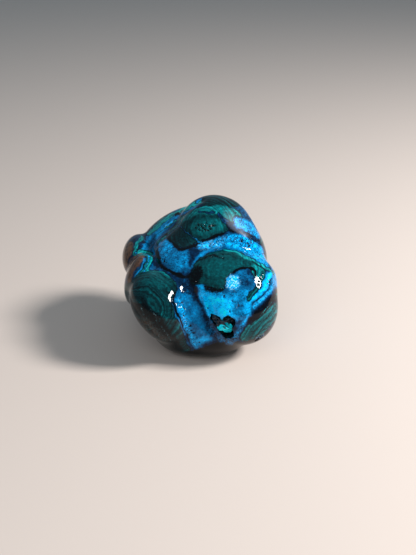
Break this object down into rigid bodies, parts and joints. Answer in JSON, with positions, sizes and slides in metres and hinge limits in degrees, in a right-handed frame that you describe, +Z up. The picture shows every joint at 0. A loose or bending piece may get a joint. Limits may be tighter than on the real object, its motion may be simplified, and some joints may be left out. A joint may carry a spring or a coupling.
{
  "type": "polished malachite chrysocolla specimen",
  "caption": "Free-standing polished freeform of malachite and chrysocolla, with grown-together rounded lobes and a small open vug low on its front.",
  "frame": {"origin": "on the surface that the stone stands on, under the middle of its outline", "axes": "+Z up, the stone's shortest extent; -Y towards the front, where the vug opens; +X to the right as seen from the front"},
  "size_m": [0.0452, 0.0453, 0.0408],
  "materials": {
    "stone": "high polish, banded dark green malachite with azure to turquoise chrysocolla",
    "crust": "natural unpolished crust, pale cyan"
  },
  "bodies": {
    "root": {"stone": "stone", "vug_crust": "crust"}
  },
  "joints": []
}
